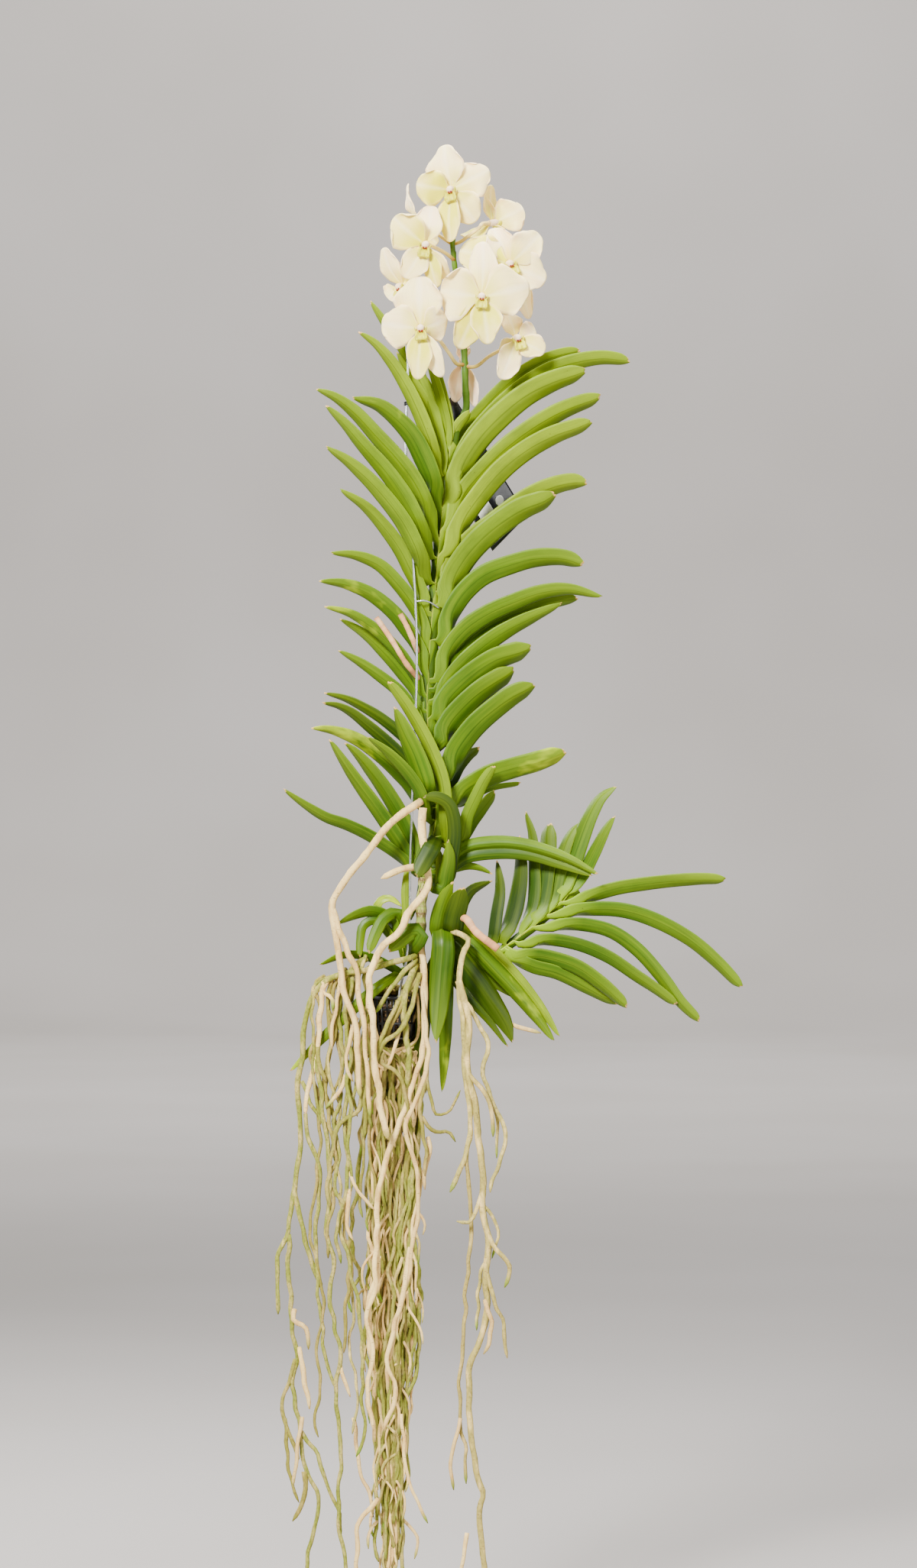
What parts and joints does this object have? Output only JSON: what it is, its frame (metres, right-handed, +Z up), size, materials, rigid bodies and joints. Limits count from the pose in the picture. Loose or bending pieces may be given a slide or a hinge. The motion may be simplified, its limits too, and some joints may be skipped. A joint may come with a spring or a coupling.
{
  "type": "hanging vanda orchid",
  "caption": "Strap-leaved orchid with a tall fan of folded leaves, side shoots, a spray of round cream blooms and long bare roots, hung by a wire from its slatted basket.",
  "frame": {"origin": "the point where the hanger's hook bears on the rail or peg that holds it", "axes": "+Z up along the wire and the plant's length, -Y to the front, where the blooms face, +X to the right"},
  "size_m": [0.4943, 0.1118, 1.531],
  "materials": {
    "wire": "galvanised, satin",
    "plastic": "black, moulded",
    "card": "black, smooth",
    "sticker": "white, plain",
    "bark": "rough chips",
    "stalk": "green, smooth",
    "leaf": "yellow-green, waxy",
    "young_leaf": "light green, waxy",
    "deep_leaf": "deep green, waxy",
    "old_stem": "dull, corky",
    "root": "pale, velvety",
    "straw": "dry",
    "petal": "cream, satin",
    "lip": "yellow, waxy"
  },
  "bodies": {
    "root": {"hanger_hook": "wire", "hanger_wire": "wire", "stem_ring": "wire", "card_tie": "plastic", "label_card": "card", "label_sticker": "sticker", "round_sticker": "sticker", "basket": "plastic", "bark_plug": "bark", "flower_stalk": "stalk", "main_shoot": "leaf", "right_shoot": "young_leaf", "lower_shoot": "deep_leaf", "left_shoot": "deep_leaf", "old_stem_roots": "old_stem", "front_root_left": "root", "front_root_middle": "root", "short_root": "root", "right_roots": "root", "side_root": "root", "dry_stalk_upper": "straw", "dry_stalk_lower": "straw", "cut_stalk": "straw", "bloom_1": "petal", "lip_1": "lip", "bloom_2": "petal", "lip_2": "lip", "bloom_3": "petal", "lip_3": "lip", "bloom_4": "petal", "lip_4": "lip", "bloom_5": "petal", "lip_5": "lip", "bloom_6": "petal", "lip_6": "lip", "bloom_7": "petal", "lip_7": "lip", "bloom_8": "petal", "lip_8": "lip", "bloom_9": "petal", "lip_9": "lip", "bloom_10": "petal", "lip_10": "lip"}
  },
  "joints": []
}
